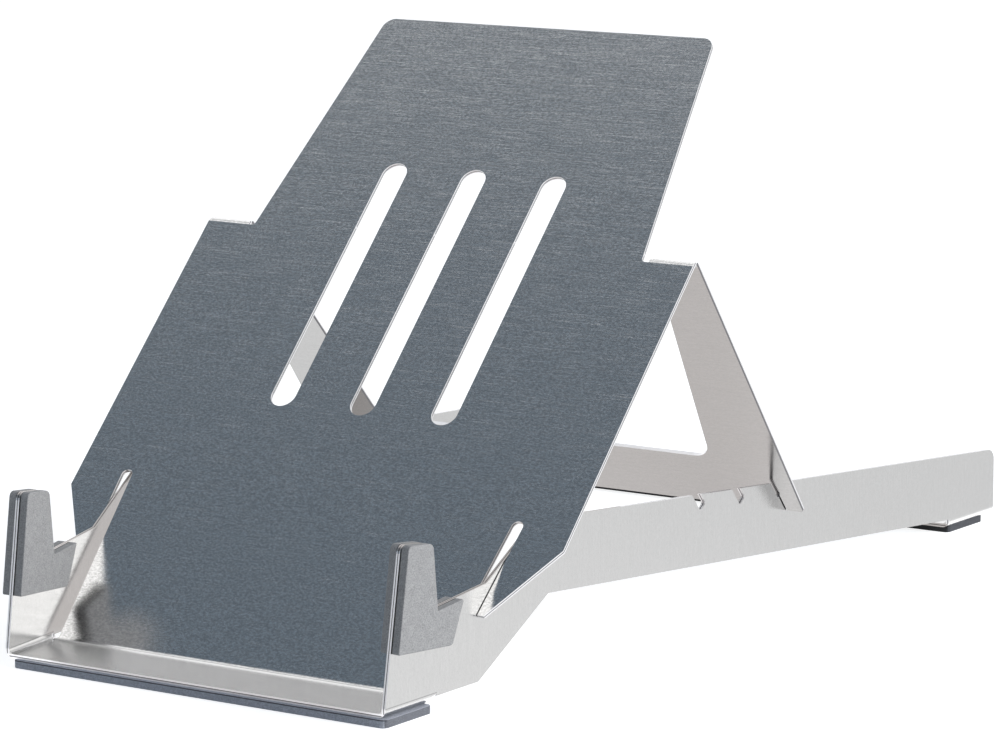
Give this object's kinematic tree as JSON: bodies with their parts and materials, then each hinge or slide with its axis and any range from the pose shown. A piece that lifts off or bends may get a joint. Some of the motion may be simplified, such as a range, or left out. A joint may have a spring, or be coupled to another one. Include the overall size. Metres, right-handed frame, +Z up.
{
  "type": "laptop riser",
  "caption": "Laptop riser folded from one steel sheet, with a sloped slotted platform, padded front hooks, notched side rails and a folded prop, standing on foam strips.",
  "frame": {"origin": "on the ground, in the middle of the riser's width and depth", "axes": "+X to the right as seen from the hooks, +Y to the rear, +Z up"},
  "size_m": [0.2162, 0.3902, 0.2047],
  "materials": {
    "satin_steel": "satin brushed stainless sheet",
    "pad_foam": "matt grained closed-cell foam",
    "foot_foam": "matt grained closed-cell foam"
  },
  "bodies": {
    "root": {"folded_frame": "satin_steel", "hook_pad_right_outer": "pad_foam", "hook_pad_right_inner": "pad_foam", "hook_pad_left_outer": "pad_foam", "hook_pad_left_inner": "pad_foam", "front_foot_strip": "foot_foam", "rear_foot_strip": "foot_foam"}
  },
  "joints": []
}
